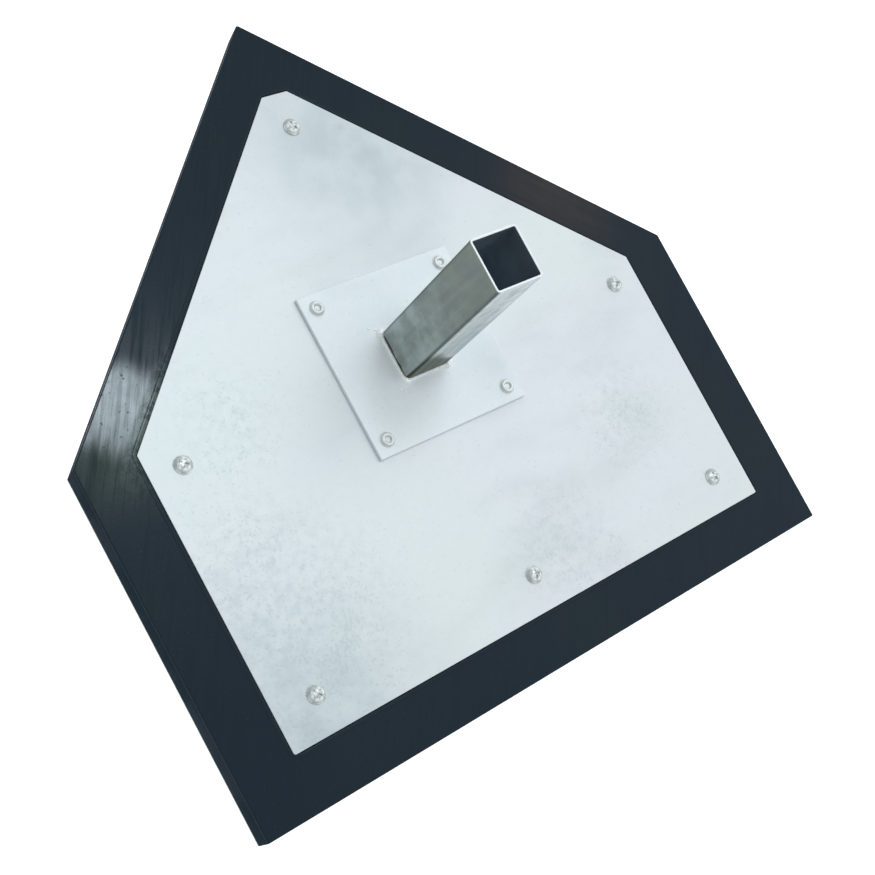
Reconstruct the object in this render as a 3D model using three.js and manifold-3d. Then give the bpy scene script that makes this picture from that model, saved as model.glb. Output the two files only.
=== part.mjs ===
// Home plate for a ball field with a square ground stem, lying on its playing face.
// Millimetres, +Z up. The origin is under the middle of the plate, on the playing face.
// +X runs along the front edge and +Y points to the apex.

import * as THREE from 'three';
import { mergeVertices } from 'three/addons/utils/BufferGeometryUtils.js';
import Module from 'manifold-3d';

const wasm = await Module();
wasm.setup();

// Outline of home plate: a square with two corners cut off to make the apex
const plateWidth = 431.8;
const plateDepth = 431.8;
const sideLength = 215.9;

// White rubber playing surface with the bevelled edge that the rules of the game ask for
const surfaceThickness = 6.4;
const surfaceBevel = 4.8;

// Black rubber body, with the recess that takes the steel sheet
const bodyThickness = 15.8;
const bodyEdgeBreak = 0.8;
const recessGap = 0.7;
const recessLip = 0.8;

// Galvanised steel sheet, set in from each edge of the plate
const sheetThickness = 1.9;
const sideMargin = 34.2;
const frontMargin = 32.4;
const slantMargin = 28.2;
const apexCut = 17.6;

// Stem plate and the square tube that stands on it
const stemPlateWidth = 110;
const stemPlateDepth = 105.6;
const stemPlateThickness = 2.6;
const stemFromFront = 206.5;
const tubeSize = 31.75;
const tubeWall = 1.4;
const tubeCorner = 2.4;
const tubeLength = 121;

// Weld bead round the foot of the tube, with a lump at each corner
const weldLeg = 2.4;
const weldLump = 2.1;

// Pan head screws that hold the sheet to the body
const screwHead = 10.9;
const screwHeadHeight = 3;
const screwShank = 5.5;
const screwLength = 10.4;
const crossSpan = 6.2;
const crossSlot = 1.5;
const crossDepth = 1.9;
const screwFromApexCut = 23;
const screwFromFront = 22.5;
const cornerScrewFromSide = 26.3;
const shoulderScrewFromSide = 20.3;
const shoulderScrewBelowShoulder = 14;

// Flanged threaded inserts moulded into the body under the screws
const insertDiameter = 9.6;
const insertLength = 11;
const insertFlange = 13.4;
const insertFlangeHeight = 2;
const insertBoreDepth = 9.4;

// Blind rivets that hold the stem plate to the sheet, set from above and swollen under the sheet
const rivetHead = 9.8;
const rivetHeadHeight = 1.9;
const rivetShank = 6.4;
const rivetTail = 9.4;
const rivetTailHeight = 1.4;
const rivetInset = 9.5;

// The rivets' mandrels, snapped off below the crown of the head, with a bulb under the tail
const pinDiameter = 4.2;
const pinBelowCrown = 0.9;
const pinBulb = 6.4;
const pinBulbHeight = 1.6;

// Clearance between a piece and the pocket or hole that it sits in
const fitGap = 0.3;

// Levels from the playing face up
const bodyBase = surfaceThickness;
const underside = bodyBase + bodyThickness;
const recessFloor = underside - sheetThickness;
const stemPlateTop = underside + stemPlateThickness;

const frontY = -plateDepth / 2;
const stemY = frontY + stemFromFront;

// Facets of round shapes
const roundSides = 24;
const hiddenSides = 16;
const cornerSteps = 5;
const curveSteps = 4;
const weldSteps = 3;

const whiteRubber = new THREE.MeshStandardMaterial({ color: 0xe9e9e4, roughness: 0.6, metalness: 0 });
const blackRubber = new THREE.MeshStandardMaterial({ color: 0x16191b, roughness: 0.45, metalness: 0 });
const galvanised = new THREE.MeshStandardMaterial({ color: 0xc9cfd1, roughness: 0.38, metalness: 1 });
const tubeSteel = new THREE.MeshStandardMaterial({ color: 0xb9bdb8, roughness: 0.32, metalness: 1 });
const weldSteel = new THREE.MeshStandardMaterial({ color: 0xa7aba8, roughness: 0.5, metalness: 1 });
const zincPlate = new THREE.MeshStandardMaterial({ color: 0xd0d2ce, roughness: 0.28, metalness: 1 });

// A closed solid for cutting and joining, from any closed geometry
function toSolid(geometry) {
  const bare = geometry.clone();
  bare.deleteAttribute('normal');
  bare.deleteAttribute('uv');
  const merged = mergeVertices(bare, 1e-4);
  const corners = [];
  for (let i = 0; i < merged.index.count; i += 3) {
    const triangle = [merged.index.getX(i), merged.index.getX(i + 1), merged.index.getX(i + 2)];
    if (new Set(triangle).size === 3) {
      corners.push(...triangle);
    }
  }
  return new wasm.Manifold(new wasm.Mesh({
    numProp: 3,
    vertProperties: new Float32Array(merged.attributes.position.array),
    triVerts: new Uint32Array(corners),
  }));
}

function toGeometry(solid) {
  const mesh = solid.getMesh();
  const geometry = new THREE.BufferGeometry();
  geometry.setAttribute('position', new THREE.BufferAttribute(mesh.vertProperties, 3));
  geometry.setIndex(new THREE.BufferAttribute(mesh.triVerts, 1));
  geometry.computeVertexNormals();
  return geometry;
}

// A straight prism of the shape between two levels
function prism(shape, low, high) {
  const geometry = new THREE.ExtrudeGeometry(shape, {
    depth: high - low,
    bevelEnabled: false,
    curveSegments: cornerSteps,
  });
  return geometry.translate(0, 0, low);
}

// A slab between two levels whose outline is drawn in by the bevel at both of them
function bevelledSlab(shape, low, high, bevel, steps) {
  const geometry = new THREE.ExtrudeGeometry(shape, {
    depth: high - low - bevel * 2,
    bevelEnabled: true,
    bevelSegments: steps,
    bevelSize: bevel,
    bevelThickness: bevel,
    bevelOffset: -bevel,
    curveSegments: cornerSteps,
  });
  return geometry.translate(0, 0, low + bevel);
}

// A turned piece: the profile's x is the radius and its y the height
function turned(profile, sides) {
  return new THREE.LatheGeometry(profile.getPoints(curveSteps), sides).rotateX(Math.PI / 2);
}

function cylinder(radius, low, high, sides) {
  const geometry = new THREE.CylinderGeometry(radius, radius, high - low, sides).rotateX(Math.PI / 2);
  return geometry.translate(0, 0, (low + high) / 2);
}

function addMesh(name, geometry, material, x = 0, y = 0) {
  const mesh = new THREE.Mesh(geometry, material);
  mesh.name = name;
  mesh.position.set(x, y, 0);
  return mesh;
}

// Height of the slanted edge at a distance from the centre line, moved in square to itself
function slantY(x, inset) {
  const halfWidth = plateWidth / 2;
  const rise = plateDepth - sideLength;
  const slantLength = Math.hypot(halfWidth, rise);
  return frontY + sideLength + ((halfWidth - x) * rise - inset * slantLength) / halfWidth;
}

// The five sides of home plate with each edge set in, and the apex cut off square if asked
function fiveSides(side, front, slant, cut) {
  const right = plateWidth / 2 - side;
  const low = frontY + front;
  const shoulder = slantY(right, slant);
  const apex = slantY(cut / 2, slant);
  const shape = new THREE.Shape();
  shape.moveTo(-right, low);
  shape.lineTo(right, low);
  shape.lineTo(right, shoulder);
  shape.lineTo(cut / 2, apex);
  if (cut > 0) {
    shape.lineTo(-cut / 2, apex);
  }
  shape.lineTo(-right, shoulder);
  shape.closePath();
  return shape;
}

// A square with rounded corners about a centre
function roundedSquare(centreY, size, radius) {
  const reach = size / 2 - radius;
  const shape = new THREE.Shape();
  shape.absarc(reach, centreY - reach, radius, -Math.PI / 2, 0);
  shape.absarc(reach, centreY + reach, radius, 0, Math.PI / 2);
  shape.absarc(-reach, centreY + reach, radius, Math.PI / 2, Math.PI);
  shape.absarc(-reach, centreY - reach, radius, Math.PI, Math.PI * 1.5);
  shape.closePath();
  return shape;
}

// The sheet's own edges place its screws
const sheetRight = plateWidth / 2 - sideMargin;
const sheetFront = frontY + frontMargin;
const sheetShoulder = slantY(sheetRight, slantMargin);
const sheetApex = slantY(apexCut / 2, slantMargin);
const frontScrewY = sheetFront + screwFromFront;
const shoulderScrewX = sheetRight - shoulderScrewFromSide;
const shoulderScrewY = sheetShoulder - shoulderScrewBelowShoulder;
const cornerScrewX = sheetRight - cornerScrewFromSide;
const screwPlaces = [
  ['apex', 0, sheetApex - screwFromApexCut],
  ['right_shoulder', shoulderScrewX, shoulderScrewY],
  ['left_shoulder', -shoulderScrewX, shoulderScrewY],
  ['right_front', cornerScrewX, frontScrewY],
  ['left_front', -cornerScrewX, frontScrewY],
  ['front_middle', 0, frontScrewY],
];

// The rivets sit at the corners of the stem plate
const rivetX = stemPlateWidth / 2 - rivetInset;
const rivetY = stemPlateDepth / 2 - rivetInset;
const rivetPlaces = [
  ['right_far', rivetX, stemY + rivetY],
  ['left_far', -rivetX, stemY + rivetY],
  ['right_near', rivetX, stemY - rivetY],
  ['left_near', -rivetX, stemY - rivetY],
];

// A flanged insert's outside, grown by a gap to cut its pocket in the rubber
function insertProfile(gap) {
  const profile = new THREE.Path();
  const bottom = recessFloor - insertLength - gap;
  const flangeTop = recessFloor - insertLength + insertFlangeHeight + gap;
  profile.moveTo(0, bottom);
  profile.lineTo(insertFlange / 2 + gap, bottom);
  profile.lineTo(insertFlange / 2 + gap, flangeTop);
  profile.lineTo(insertDiameter / 2 + gap, flangeTop);
  profile.lineTo(insertDiameter / 2 + gap, recessFloor);
  return profile;
}

// Screws are driven through the sheet into the inserts, so the bore follows the shank
function insertGeometry() {
  const boreRadius = screwShank / 2 + fitGap;
  const boreFloor = recessFloor - insertBoreDepth;
  const profile = insertProfile(0);
  profile.lineTo(boreRadius, recessFloor);
  profile.lineTo(boreRadius, boreFloor);
  profile.lineTo(0, boreFloor);
  return turned(profile, hiddenSides);
}

// The bevel is at the playing face, and the back is cut off flat where the body is bonded to it
function playingSurface() {
  const outline = fiveSides(0, 0, 0, 0);
  const overrun = surfaceThickness + surfaceBevel;
  const slab = toSolid(bevelledSlab(outline, 0, overrun, surfaceBevel, 1));
  return toGeometry(slab.subtract(toSolid(prism(outline, surfaceThickness, overrun))));
}

function baseBody() {
  const outline = fiveSides(0, 0, 0, 0);
  const recess = fiveSides(sideMargin - recessGap, frontMargin - recessGap, slantMargin - recessGap, apexCut);
  const lip = fiveSides(
    sideMargin - recessGap - recessLip,
    frontMargin - recessGap - recessLip,
    slantMargin - recessGap - recessLip,
    apexCut,
  );
  let body = toSolid(bevelledSlab(outline, bodyBase - bodyEdgeBreak, underside, bodyEdgeBreak, 1));
  body = body.subtract(toSolid(prism(outline, bodyBase - bodyEdgeBreak, bodyBase)));
  body = body.subtract(toSolid(prism(recess, recessFloor, underside + recessLip)));
  const flare = bevelledSlab(lip, underside - recessLip, underside + recessLip * 2, recessLip, 1);
  body = body.subtract(toSolid(flare));
  const pocket = insertProfile(fitGap);
  pocket.lineTo(insertDiameter / 2 + fitGap, underside);
  pocket.lineTo(0, underside);
  const pocketSolid = toSolid(turned(pocket, hiddenSides));
  for (const [, x, y] of screwPlaces) {
    body = body.subtract(pocketSolid.translate([x, y, 0]));
  }
  const tailFloor = recessFloor - rivetTailHeight - pinBulbHeight - fitGap;
  const tailPocket = toSolid(cylinder(rivetTail / 2 + fitGap, tailFloor, underside, roundSides));
  for (const [, x, y] of rivetPlaces) {
    body = body.subtract(tailPocket.translate([x, y, 0]));
  }
  return toGeometry(body);
}

// A round hole in a sheet outline
function addHole(shape, x, y, radius) {
  const hole = new THREE.Path();
  hole.absarc(x, y, radius, 0, Math.PI * 2, true);
  shape.holes.push(hole);
}

function backingPlate() {
  const shape = fiveSides(sideMargin, frontMargin, slantMargin, apexCut);
  for (const [, x, y] of screwPlaces) {
    addHole(shape, x, y, screwShank / 2 + fitGap);
  }
  for (const [, x, y] of rivetPlaces) {
    addHole(shape, x, y, rivetShank / 2 + fitGap);
  }
  return prism(shape, recessFloor, underside);
}

function stemPlate() {
  const shape = new THREE.Shape();
  const right = stemPlateWidth / 2;
  const reach = stemPlateDepth / 2;
  shape.moveTo(-right, stemY - reach);
  shape.lineTo(right, stemY - reach);
  shape.lineTo(right, stemY + reach);
  shape.lineTo(-right, stemY + reach);
  shape.closePath();
  for (const [, x, y] of rivetPlaces) {
    addHole(shape, x, y, rivetShank / 2 + fitGap);
  }
  return prism(shape, underside, stemPlateTop);
}

function stemTube() {
  const shape = roundedSquare(stemY, tubeSize, tubeCorner);
  shape.holes.push(roundedSquare(stemY, tubeSize - tubeWall * 2, tubeCorner - tubeWall));
  return prism(shape, stemPlateTop, stemPlateTop + tubeLength);
}

// A sloped bead with a lump at each corner, trimmed to the plate below and the tube inside
function stemWeld() {
  const bead = roundedSquare(stemY, tubeSize + weldLeg * 2, tubeCorner + weldLeg);
  const reach = weldLeg * 2;
  let weld = toSolid(bevelledSlab(bead, stemPlateTop - reach, stemPlateTop + weldLeg, weldLeg, weldSteps));
  const lump = toSolid(new THREE.SphereGeometry(weldLump, 10, 8));
  const corner = tubeSize / 2;
  for (const [x, y] of [[corner, corner], [-corner, corner], [-corner, -corner], [corner, -corner]]) {
    weld = weld.add(lump.translate([x, stemY + y, stemPlateTop + weldLeg / 2]));
  }
  const inside = roundedSquare(stemY, tubeSize + fitGap * 2, tubeCorner + fitGap);
  weld = weld.subtract(toSolid(prism(inside, stemPlateTop - reach, stemPlateTop + weldLeg + weldLump)));
  const below = roundedSquare(stemY, tubeSize + (weldLeg + weldLump) * 2, tubeCorner);
  return toGeometry(weld.subtract(toSolid(prism(below, stemPlateTop - reach, stemPlateTop))));
}

// A domed head with a cross recess on a plain shank
function screwGeometry() {
  const tip = underside - screwLength;
  const point = screwShank * 0.15;
  const top = underside + screwHeadHeight;
  const rim = underside + screwHeadHeight * 0.35;
  const profile = new THREE.Path();
  profile.moveTo(0, tip);
  profile.lineTo(screwShank / 2 - point, tip);
  profile.lineTo(screwShank / 2, tip + point);
  profile.lineTo(screwShank / 2, underside);
  profile.lineTo(screwHead / 2, underside);
  profile.lineTo(screwHead / 2, rim);
  profile.quadraticCurveTo(screwHead / 2, top, screwHead * 0.2, top);
  profile.lineTo(0, top);
  const arm = crossSpan / 2;
  const half = crossSlot / 2;
  const cross = new THREE.Shape();
  cross.moveTo(arm, -half);
  for (let turn = 0; turn < 4; turn += 1) {
    const along = new THREE.Vector2(1, 0).rotateAround(new THREE.Vector2(), turn * Math.PI / 2);
    const across = new THREE.Vector2(-along.y, along.x);
    cross.lineTo(along.x * arm + across.x * half, along.y * arm + across.y * half);
    cross.lineTo(along.x * half + across.x * half, along.y * half + across.y * half);
    cross.lineTo(along.x * half + across.x * arm, along.y * half + across.y * arm);
  }
  const recess = toSolid(prism(cross, top - crossDepth, top + crossDepth));
  return toGeometry(toSolid(turned(profile, roundSides)).subtract(recess));
}

// A hollow rivet: domed head above the stem plate, swollen collar under the sheet
function rivetGeometry() {
  const bore = pinDiameter / 2 + fitGap;
  const tailEnd = recessFloor - rivetTailHeight;
  const top = stemPlateTop + rivetHeadHeight;
  const collar = rivetTailHeight / 2;
  const profile = new THREE.Path();
  profile.moveTo(bore, tailEnd);
  profile.lineTo(rivetTail / 2 - collar, tailEnd);
  profile.lineTo(rivetTail / 2, tailEnd + collar);
  profile.lineTo(rivetTail / 2, recessFloor);
  profile.lineTo(rivetShank / 2, recessFloor);
  profile.lineTo(rivetShank / 2, stemPlateTop);
  profile.lineTo(rivetHead / 2, stemPlateTop);
  profile.quadraticCurveTo(rivetHead / 2, top, (rivetHead / 2 + bore) / 2, top);
  profile.quadraticCurveTo(bore, top, bore, stemPlateTop);
  profile.lineTo(bore, tailEnd);
  return turned(profile, roundSides);
}

// The mandrel that stays in the rivet: its bulb bears on the collar
function pinGeometry() {
  const tailEnd = recessFloor - rivetTailHeight;
  const bulbEnd = tailEnd - pinBulbHeight;
  const broken = stemPlateTop + rivetHeadHeight - pinBelowCrown;
  const rounding = pinBulbHeight / 3;
  const profile = new THREE.Path();
  profile.moveTo(0, bulbEnd);
  profile.lineTo(pinBulb / 2 - rounding, bulbEnd);
  profile.lineTo(pinBulb / 2, bulbEnd + rounding);
  profile.lineTo(pinBulb / 2, tailEnd);
  profile.lineTo(pinDiameter / 2, tailEnd);
  profile.lineTo(pinDiameter / 2, broken);
  profile.lineTo(0, broken);
  return turned(profile, hiddenSides);
}

const homePlate = new THREE.Group();

const slab = new THREE.Group();
slab.add(addMesh('playing_surface', playingSurface(), whiteRubber));
slab.add(addMesh('base_body', baseBody(), blackRubber));
const insert = insertGeometry();
for (const [place, x, y] of screwPlaces) {
  slab.add(addMesh(`insert_${place}`, insert, zincPlate, x, y));
}
homePlate.add(slab);

const backing = new THREE.Group();
backing.add(addMesh('backing_plate', backingPlate(), galvanised));
const screw = screwGeometry();
for (const [place, x, y] of screwPlaces) {
  backing.add(addMesh(`screw_${place}`, screw, zincPlate, x, y));
}
homePlate.add(backing);

const stem = new THREE.Group();
stem.add(addMesh('stem_plate', stemPlate(), galvanised));
stem.add(addMesh('stem_tube', stemTube(), tubeSteel));
stem.add(addMesh('stem_weld', stemWeld(), weldSteel));
const rivet = rivetGeometry();
const pin = pinGeometry();
for (const [place, x, y] of rivetPlaces) {
  stem.add(addMesh(`rivet_${place}`, rivet, zincPlate, x, y));
  stem.add(addMesh(`rivet_pin_${place}`, pin, zincPlate, x, y));
}
homePlate.add(stem);

export default homePlate;
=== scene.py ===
# Home plate for a ball field, lying on its white face with the ground stem standing up.
import math
import random

import bmesh
import bpy
from mathutils import Matrix, Vector, noise


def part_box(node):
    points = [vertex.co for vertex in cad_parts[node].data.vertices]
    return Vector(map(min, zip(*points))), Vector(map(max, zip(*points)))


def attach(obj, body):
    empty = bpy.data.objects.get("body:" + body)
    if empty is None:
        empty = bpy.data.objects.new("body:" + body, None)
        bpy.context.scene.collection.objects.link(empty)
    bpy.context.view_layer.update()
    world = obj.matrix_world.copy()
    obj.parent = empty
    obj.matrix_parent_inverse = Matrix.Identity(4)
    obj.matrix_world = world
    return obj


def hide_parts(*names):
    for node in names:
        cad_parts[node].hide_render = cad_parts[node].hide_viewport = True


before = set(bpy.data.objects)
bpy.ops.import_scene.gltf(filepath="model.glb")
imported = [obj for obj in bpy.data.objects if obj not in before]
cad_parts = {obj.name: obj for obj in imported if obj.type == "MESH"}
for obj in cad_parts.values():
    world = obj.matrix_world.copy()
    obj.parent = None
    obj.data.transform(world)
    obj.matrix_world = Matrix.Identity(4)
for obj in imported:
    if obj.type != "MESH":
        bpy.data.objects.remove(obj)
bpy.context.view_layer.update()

# Playing surface: the white rubber face of home plate, which lies on the floor here.
# It is moulded as a five-sided slab with the bevelled edge that the rules of the game ask for,
# and its back is bonded to the black body.
surface_low, surface_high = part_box("playing_surface")
plate_right = surface_high.x
plate_front = surface_low.y
plate_apex = surface_high.y
side_length = 0.2159
surface_bevel = 0.0048
surface_edge_radius = 0.0006
corner_radius = 0.0009
blunt_tip = 0.0012
chalk_white = (0.82, 0.82, 0.79)
shaded_white = (0.785, 0.785, 0.75)
scuffed_white = (0.745, 0.74, 0.705)


def plate_corners(side, front, slant, cut):
    """The five sides of home plate, each set in by its own distance, with the apex cut off square."""
    right = plate_right - side
    rise = plate_apex - plate_front - side_length
    slant_length = math.hypot(plate_right, rise)

    def slant_y(x):
        return plate_front + side_length + ((plate_right - x) * rise - slant * slant_length) / plate_right

    return [
        (-right, plate_front + front),
        (right, plate_front + front),
        (right, slant_y(right)),
        (cut / 2, slant_y(cut / 2)),
        (-cut / 2, slant_y(cut / 2)),
        (-right, slant_y(right)),
    ]


def rounded_path(corners, radius, steps, pieces=1, closed=True):
    """Corners eased into curves, with each straight run between them cut into equal pieces."""
    longest_share = 0.49
    points = [Vector(corner) for corner in corners]
    curves = []
    for i, point in enumerate(points):
        if not closed and i in (0, len(points) - 1):
            curves.append([point])
            continue
        before = points[i - 1] - point
        after = points[(i + 1) % len(points)] - point
        reach = radius / math.tan(before.angle(after) / 2)
        reach = min(reach, before.length * longest_share, after.length * longest_share)
        start = point + before.normalized() * reach
        end = point + after.normalized() * reach
        curve = []
        for step in range(steps + 1):
            share = step / steps
            curve.append(start.lerp(point, share).lerp(point.lerp(end, share), share))
        curves.append(curve)
    path = []
    for i, curve in enumerate(curves):
        path.extend(curve)
        if closed or i < len(curves) - 1:
            following = curves[(i + 1) % len(curves)][0]
            path.extend(curve[-1].lerp(following, n / pieces) for n in range(1, pieces))
    return path


def at_height(path, height):
    return [Vector((point.x, point.y, height)) for point in path]


def loft(name, loops, ring=False):
    """A closed mesh through loops of equal count, with flat ends, or joined end to end as a ring."""
    count = len(loops[0])
    shape = bmesh.new()
    rows = [[shape.verts.new(point) for point in loop] for loop in loops]
    pairs = list(zip(rows, rows[1:]))
    if ring:
        pairs.append((rows[-1], rows[0]))
    for low, high in pairs:
        for j in range(count):
            k = (j + 1) % count
            shape.faces.new((low[j], low[k], high[k], high[j]))
    if not ring:
        shape.faces.new(reversed(rows[0]))
        shape.faces.new(rows[-1])
    bmesh.ops.recalc_face_normals(shape, faces=shape.faces)
    mesh = bpy.data.meshes.new(name)
    shape.to_mesh(mesh)
    shape.free()
    made = bpy.data.objects.new(name, mesh)
    bpy.context.scene.collection.objects.link(made)
    return made


def shade(piece, angle):
    """Smooth shading that breaks at edges sharper than the angle and round every flat end."""
    mesh = piece.data
    mesh.shade_smooth()
    mesh.set_sharp_from_angle(angle=math.radians(angle))
    flat_edges = {key for face in mesh.polygons if len(face.vertices) > 4 for key in face.edge_keys}
    for edge in mesh.edges:
        if edge.key in flat_edges:
            edge.use_edge_sharp = True


def dress(piece, finish, node):
    """Gives a piece its finish and lets it stand for its CAD node."""
    if not piece.data.materials:
        piece.data.materials.append(finish)
    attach(piece, "root")
    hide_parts(node)


def feed(node, inputs):
    """Gives a shader node its inputs, which are values or the sockets that they come from."""
    for socket, value in inputs.items():
        if isinstance(value, bpy.types.NodeSocket):
            node.id_data.links.new(value, node.inputs[socket])
        else:
            node.inputs[socket].default_value = value


def add_node(tree, kind, inputs=None, **settings):
    """A new shader node with its settings and its inputs."""
    node = tree.nodes.new(kind)
    for name, setting in settings.items():
        setattr(node, name, setting)
    feed(node, inputs or {})
    return node


def new_group(name, inputs, output, output_kind="NodeSocketFloat"):
    """An empty node group with a vector input, number inputs with their defaults, and one output."""
    group = bpy.data.node_groups.new(name, "ShaderNodeTree")
    group.interface.new_socket("Vector", in_out="INPUT", socket_type="NodeSocketVector")
    for socket, value in inputs.items():
        made = group.interface.new_socket(socket, in_out="INPUT", socket_type="NodeSocketFloat")
        made.default_value = value
    group.interface.new_socket(output, in_out="OUTPUT", socket_type=output_kind)
    return group, group.nodes.new("NodeGroupInput"), group.nodes.new("NodeGroupOutput")


def masked(tree, group, **inputs):
    """Places a node group with its own values and returns its output."""
    return add_node(tree, "ShaderNodeGroup", inputs, node_tree=group).outputs[0]


def remap(tree, value, low, high, to_low=0.0, to_high=1.0):
    """A value carried smoothly from one range to another, and held at its ends."""
    limits = {"Value": value, "From Min": low, "From Max": high, "To Min": to_low, "To Max": to_high}
    return add_node(tree, "ShaderNodeMapRange", limits, interpolation_type="SMOOTHSTEP").outputs["Result"]


def between(tree, mask, at_none, at_full):
    """A value that goes from one end to the other as a mask fills."""
    return remap(tree, mask, 0.0, 1.0, at_none, at_full)


def calculate(tree, operation, first, second):
    return add_node(tree, "ShaderNodeMath", {0: first, 1: second}, operation=operation).outputs[0]


def mix_colours(tree, share, first, second):
    """Two colours mixed by a mask; a plain colour is a red, green and blue value."""
    first, second = ((*colour, 1.0) if isinstance(colour, tuple) else colour for colour in (first, second))
    return add_node(tree, "ShaderNodeMix", {0: share, 6: first, 7: second}, data_type="RGBA").outputs[2]


def new_finish(name):
    """A material with its nodes, its shader and the place on the piece that wears it."""
    finish = bpy.data.materials.new(name)
    finish.use_nodes = True
    tree = finish.node_tree
    place = add_node(tree, "ShaderNodeTexCoord").outputs["Object"]
    return finish, tree, tree.nodes["Principled BSDF"], place


def relief(tree, height, strength, depth):
    """The normals of a fine relief whose height is a mask."""
    bump = add_node(tree, "ShaderNodeBump", {"Height": height, "Strength": strength, "Distance": depth})
    return bump.outputs["Normal"]


# Soft patches: cloudy areas of wear, handling or uneven cure
soft_patches, patches_in, patches_out = new_group(
    "soft_patches", {"Scale": 10.0, "Low": 0.4, "High": 0.6}, "Mask"
)
patch_noise = add_node(
    soft_patches,
    "ShaderNodeTexNoise",
    {
        "Vector": patches_in.outputs["Vector"],
        "Scale": patches_in.outputs["Scale"],
        "Detail": 5.0,
        "Roughness": 0.55,
    },
)
patch_mask = remap(
    soft_patches, patch_noise.outputs[0], patches_in.outputs["Low"], patches_in.outputs["High"]
)
feed(patches_out, {"Mask": patch_mask})

# Rubber grain: the fine pebbled skin that the mould leaves
rubber_grain, grain_in, grain_out = new_group("rubber_grain", {"Scale": 900.0}, "Height")
grain_cells = add_node(
    rubber_grain,
    "ShaderNodeTexVoronoi",
    {"Vector": grain_in.outputs["Vector"], "Scale": grain_in.outputs["Scale"], "Randomness": 1.0},
    feature="SMOOTH_F1",
)
grain_noise = add_node(
    rubber_grain,
    "ShaderNodeTexNoise",
    {"Vector": grain_in.outputs["Vector"], "Scale": grain_in.outputs["Scale"], "Detail": 3.0},
)
grain_height = calculate(rubber_grain, "ADD", grain_cells.outputs["Distance"], grain_noise.outputs[0])
feed(grain_out, {"Height": grain_height})

white_rubber, tree, shader, place = new_finish("white_rubber")
scuffs = masked(tree, soft_patches, Vector=place, Scale=60.0, Low=0.5, High=0.75)
shadows = masked(tree, soft_patches, Vector=place, Scale=6.0, Low=0.35, High=0.7)
chalky = mix_colours(tree, shadows, chalk_white, shaded_white)
grain = masked(tree, rubber_grain, Vector=place, Scale=850.0)
feed(shader, {
    "Base Color": mix_colours(tree, scuffs, chalky, scuffed_white),
    "Roughness": between(tree, scuffs, 0.52, 0.68),
    "Specular IOR Level": 0.4,
    "Normal": relief(tree, grain, strength=0.35, depth=0.0002),
})

surface_thickness = surface_high.z - surface_low.z
surface_profile = rounded_path(
    [(surface_bevel * 2, 0), (surface_bevel, 0), (0, surface_bevel), (0, surface_thickness)],
    surface_edge_radius,
    steps=4,
    closed=False,
)
surface_loops = []
for inset, height in surface_profile:
    outline = rounded_path(plate_corners(inset, inset, inset, blunt_tip), corner_radius, steps=3)
    surface_loops.append(at_height(outline, surface_low.z + height))
white_face = loft("white_face", surface_loops)
shade(white_face, angle=30)
dress(white_face, white_rubber, "playing_surface")

# Base body: the black rubber slab that gives home plate its weight, moulded onto the white face.
# Its underside has a shallow recess with a soft lip for the steel sheet, and pockets for the inserts
# and the rivets' tails, which the sheet covers.
body_low, body_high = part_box("base_body")
sheet_low, sheet_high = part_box("backing_plate")
side_margin = plate_right - sheet_high.x
front_margin = sheet_low.y - plate_front
slant_margin = 0.0282
apex_cut = 0.0176
body_edge_radius = 0.0008
body_edge_steps = 4
recess_gap = 0.0004
lip_radius = 0.0005
lip_swell = 0.00014
lip_swell_width = 0.0024
lip_swell_corner = 0.007
flat_margin = 0.0001
rim_waviness = 0.00005
rim_wave_scale = 38.0
rim_rows = 14
pieces_per_side = 40
pocket_clearance = 0.0003
pocket_sides = 32
steepest_top = 0.1
insert_flange_height = 0.002
insert_neck_radius = 0.0048


def rim_loop(share, offset, height, radius=corner_radius):
    """A loop between the body's outer edge and the edge of the recess, moved in by a small offset."""
    corners = plate_corners(
        side_margin * share + offset,
        front_margin * share + offset,
        slant_margin * share + offset,
        blunt_tip + (apex_cut - blunt_tip) * share,
    )
    return at_height(rounded_path(corners, radius, steps=3, pieces=pieces_per_side), height)


def wavy(loop, amount):
    """A loop with the slight unevenness of moulded rubber."""
    for point in loop:
        point.z += noise.noise(Vector((point.x, point.y, 0)) * rim_wave_scale) * amount
    return loop


def quarter_turn(steps):
    """The sine and cosine of equal steps through a quarter of a circle."""
    turns = [math.pi / 2 * step / steps for step in range(steps + 1)]
    return [(math.sin(turn), math.cos(turn)) for turn in turns]


def circle(radius, height, sides, centre=(0.0, 0.0)):
    turns = [math.tau * i / sides for i in range(sides)]
    return [
        Vector((centre[0] + radius * math.cos(turn), centre[1] + radius * math.sin(turn), height))
        for turn in turns
    ]


def cut_away(piece, cutter):
    """Cuts the cutter's shape out of the piece, and removes the cutter."""
    cut = piece.modifiers.new("cut", "BOOLEAN")
    cut.operation = "DIFFERENCE"
    cut.solver = "EXACT"
    cut.object = cutter
    evaluated = piece.evaluated_get(bpy.context.evaluated_depsgraph_get())
    shaped = bpy.data.meshes.new_from_object(evaluated)
    piece.modifiers.clear()
    piece.data = shaped
    bpy.data.objects.remove(cutter)


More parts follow.
